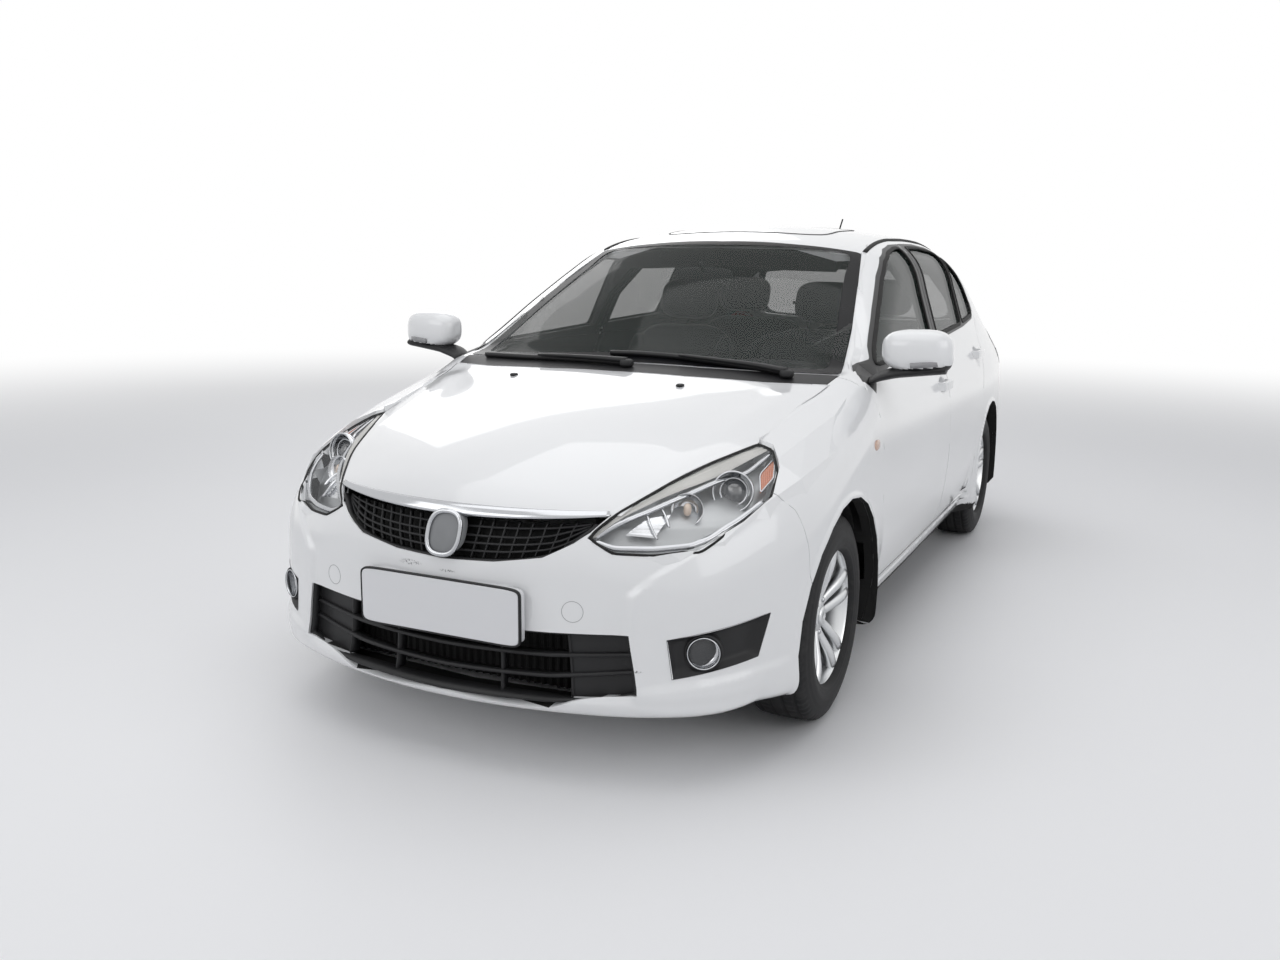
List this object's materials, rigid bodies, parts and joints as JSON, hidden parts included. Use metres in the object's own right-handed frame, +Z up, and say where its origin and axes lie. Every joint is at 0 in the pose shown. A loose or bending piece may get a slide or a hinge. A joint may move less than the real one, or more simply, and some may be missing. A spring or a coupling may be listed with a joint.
{
  "type": "hatchback car",
  "caption": "Five-door hatchback family car with opening doors, bonnet and tailgate, steered front wheels and rolling tyres.",
  "frame": {"origin": "on the floor under the middle of the car: bottom centre of its bounding box", "axes": "+Y towards the rear, +X towards the car's own left side, +Z up"},
  "size_m": [2.065, 4.2811, 1.5532],
  "materials": {
    "white_paint": "gloss white paint",
    "black_plastic": "satin black moulding",
    "dark_trim": "grained dark moulding",
    "clear_glass": "clear, faintly green",
    "lamp_glass": "clear lens over bright housing",
    "red_lens": "red lens",
    "tyre_rubber": "black rubber",
    "alloy": "light silver paint",
    "chassis_steel": "black coated steel",
    "cast_metal": "as cast",
    "seat_cloth": "dark woven cloth",
    "plate_white": "blank number plate"
  },
  "bodies": {
    "body": {"body_shell": "white_paint", "fender_left": "white_paint", "fender_right": "white_paint", "front_bumper": "white_paint", "rear_bumper": "white_paint", "cowl": "black_plastic", "windscreen": "clear_glass", "headlamp_left": "lamp_glass", "headlamp_right": "lamp_glass", "tail_lamp_left": "red_lens", "tail_lamp_right": "red_lens", "fog_lamp_left": "black_plastic", "fog_lamp_right": "black_plastic", "upper_grille": "black_plastic", "lower_grille": "black_plastic", "front_plate": "plate_white", "antenna": "black_plastic", "front_subframe": "chassis_steel", "rear_axle": "chassis_steel", "engine": "cast_metal", "exhaust": "chassis_steel", "dashboard": "dark_trim", "steering_wheel": "dark_trim", "seat_front_left": "seat_cloth", "seat_front_right": "seat_cloth", "rear_seat": "seat_cloth"},
    "bonnet": {"bonnet": "white_paint"},
    "tailgate": {"tailgate": "white_paint", "tailgate_glass": "clear_glass"},
    "door_front_left": {"door_front_left": "white_paint", "glass_front_left": "clear_glass", "mirror_left": "white_paint"},
    "door_rear_left": {"door_rear_left": "white_paint", "glass_rear_left": "clear_glass", "quarter_glass_left": "clear_glass"},
    "door_front_right": {"door_front_right": "white_paint", "glass_front_right": "clear_glass", "mirror_right": "white_paint"},
    "door_rear_right": {"door_rear_right": "white_paint", "glass_rear_right": "clear_glass", "quarter_glass_right": "clear_glass"},
    "knuckle_left": {"knuckle_left": "cast_metal"},
    "wheel_front_left": {"tyre_front_left": "tyre_rubber", "rim_front_left": "alloy"},
    "wheel_rear_left": {"tyre_rear_left": "tyre_rubber", "rim_rear_left": "alloy"},
    "knuckle_right": {"knuckle_right": "cast_metal"},
    "wheel_front_right": {"tyre_front_right": "tyre_rubber", "rim_front_right": "alloy"},
    "wheel_rear_right": {"tyre_rear_right": "tyre_rubber", "rim_rear_right": "alloy"}
  },
  "joints": [
    {"name": "door_front_left_hinge", "type": "hinge", "parent": "body", "child": "door_front_left", "pos_m": [0.862, -0.951, 0.7], "axis": [0, 0, -1], "range_deg": [0, 65]},
    {"name": "door_rear_left_hinge", "type": "hinge", "parent": "body", "child": "door_rear_left", "pos_m": [0.862, 0.179, 0.7], "axis": [0, 0, -1], "range_deg": [0, 65]},
    {"name": "door_front_right_hinge", "type": "hinge", "parent": "body", "child": "door_front_right", "pos_m": [-0.862, -0.951, 0.7], "axis": [0, 0, 1], "range_deg": [0, 65]},
    {"name": "door_rear_right_hinge", "type": "hinge", "parent": "body", "child": "door_rear_right", "pos_m": [-0.862, 0.179, 0.7], "axis": [0, 0, 1], "range_deg": [0, 65]},
    {"name": "bonnet_hinge", "type": "hinge", "parent": "body", "child": "bonnet", "pos_m": [0, -1.029, 0.975], "axis": [-1, 0, 0], "range_deg": [0, 50]},
    {"name": "tailgate_hinge", "type": "hinge", "parent": "body", "child": "tailgate", "pos_m": [0, 1.571, 1.3522], "axis": [1, 0, 0], "range_deg": [0, 75]},
    {"name": "steer_left", "type": "hinge", "parent": "body", "child": "knuckle_left", "pos_m": [0.6635, -1.319, 0.308], "axis": [0, 0, 1], "range_deg": [-30, 30]},
    {"name": "wheel_front_left_spin", "type": "hinge", "parent": "knuckle_left", "child": "wheel_front_left", "pos_m": [0.7315, -1.319, 0.308], "axis": [1, 0, 0], "continuous": true},
    {"name": "wheel_rear_left_spin", "type": "hinge", "parent": "body", "child": "wheel_rear_left", "pos_m": [0.7315, 1.291, 0.308], "axis": [1, 0, 0], "continuous": true},
    {"name": "steer_right", "type": "hinge", "parent": "body", "child": "knuckle_right", "pos_m": [-0.6635, -1.319, 0.308], "axis": [0, 0, 1], "range_deg": [-30, 30]},
    {"name": "wheel_front_right_spin", "type": "hinge", "parent": "knuckle_right", "child": "wheel_front_right", "pos_m": [-0.7315, -1.319, 0.308], "axis": [1, 0, 0], "continuous": true},
    {"name": "wheel_rear_right_spin", "type": "hinge", "parent": "body", "child": "wheel_rear_right", "pos_m": [-0.7315, 1.291, 0.308], "axis": [1, 0, 0], "continuous": true}
  ],
  "couplings": [
    {"joint": "steer_right", "follows": "steer_left", "ratio": 1}
  ]
}
